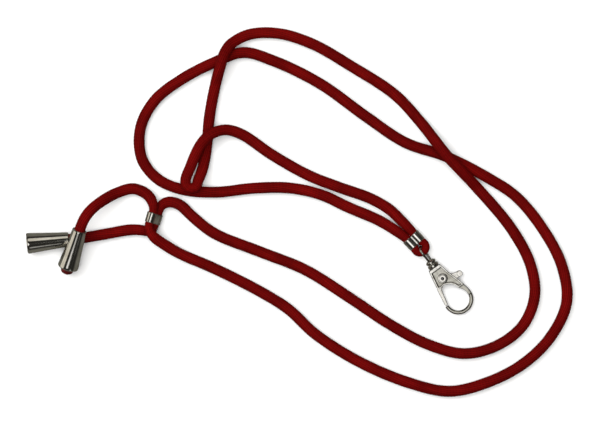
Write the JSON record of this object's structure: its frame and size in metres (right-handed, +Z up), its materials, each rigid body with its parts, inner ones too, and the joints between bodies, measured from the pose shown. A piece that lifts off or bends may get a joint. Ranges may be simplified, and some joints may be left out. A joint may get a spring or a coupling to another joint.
{
  "type": "whistle lanyard",
  "caption": "Round cord neck lanyard for a training whistle, laid out flat, with a swivel trigger clasp, a crimp band, a sliding band and bell-shaped metal cord ends.",
  "frame": {"origin": "on the table, under the middle of the laid-out lanyard's bounding box", "axes": "+Z up from the table, +X along the lanyard's longest extent, from the bell end to the loop's outer corner; the clasp lies on the +X side of the slider"},
  "size_m": [0.2591, 0.1748, 0.0153],
  "materials": {
    "cord": "tightly knitted dark red cord, matte with a faint lengthwise rib",
    "cord_end": "melted end of the cord, dark red, slightly rough",
    "bell_metal": "polished nickel plate on brass",
    "band_metal": "polished nickel plate",
    "clasp_metal": "nickel-plated casting, polished, darker in the sunk panels",
    "spring_steel": "bright spring wire"
  },
  "bodies": {
    "root": {"cord": "cord", "end_stop_a": "cord_end", "end_stop_b": "cord_end", "crimp_band": "band_metal"},
    "bell_a": {"bell_cap_a": "bell_metal"},
    "bell_b": {"bell_cap_b": "bell_metal"},
    "slider": {"slider_band": "band_metal"},
    "eye": {"swivel_eye": "clasp_metal"},
    "hook": {"hook_body": "clasp_metal", "lever_rivet": "clasp_metal"},
    "lever": {"gate_lever": "clasp_metal", "lever_spring": "spring_steel"}
  },
  "joints": [
    {"name": "eye_on_cord", "type": "hinge", "parent": "root", "child": "eye", "pos_m": [0.0586, -0.0189, 0.0034], "axis": [-0.7768, -0.5292, -0.3414], "range_deg": [0, 80]},
    {"name": "hook_swivel", "type": "hinge", "parent": "eye", "child": "hook", "pos_m": [0.06759, -0.0315, 0.00248], "axis": [0.5797, -0.8127, -0.0593], "continuous": true},
    {"name": "gate", "type": "hinge", "parent": "hook", "child": "lever", "pos_m": [0.06759, -0.0315, 0.00248], "axis": [0.0344, -0.0483, 0.9982], "range_deg": [0, 25], "stiffness_Nm_per_rad": 0.01, "springref_deg": -17.19},
    {"name": "bell_a_slide", "type": "slide", "parent": "root", "child": "bell_a", "axis": [0.9923, 0.0992, -0.0744], "range_m": [-0.0085, 0]},
    {"name": "bell_b_slide", "type": "slide", "parent": "root", "child": "bell_b", "axis": [0.31, 0.8988, 0.31], "range_m": [-0.003, 0.001]},
    {"name": "slider_slide", "type": "slide", "parent": "root", "child": "slider", "axis": [0.2886, 0.9575, 0], "range_m": [-0.001, 0.001]}
  ]
}
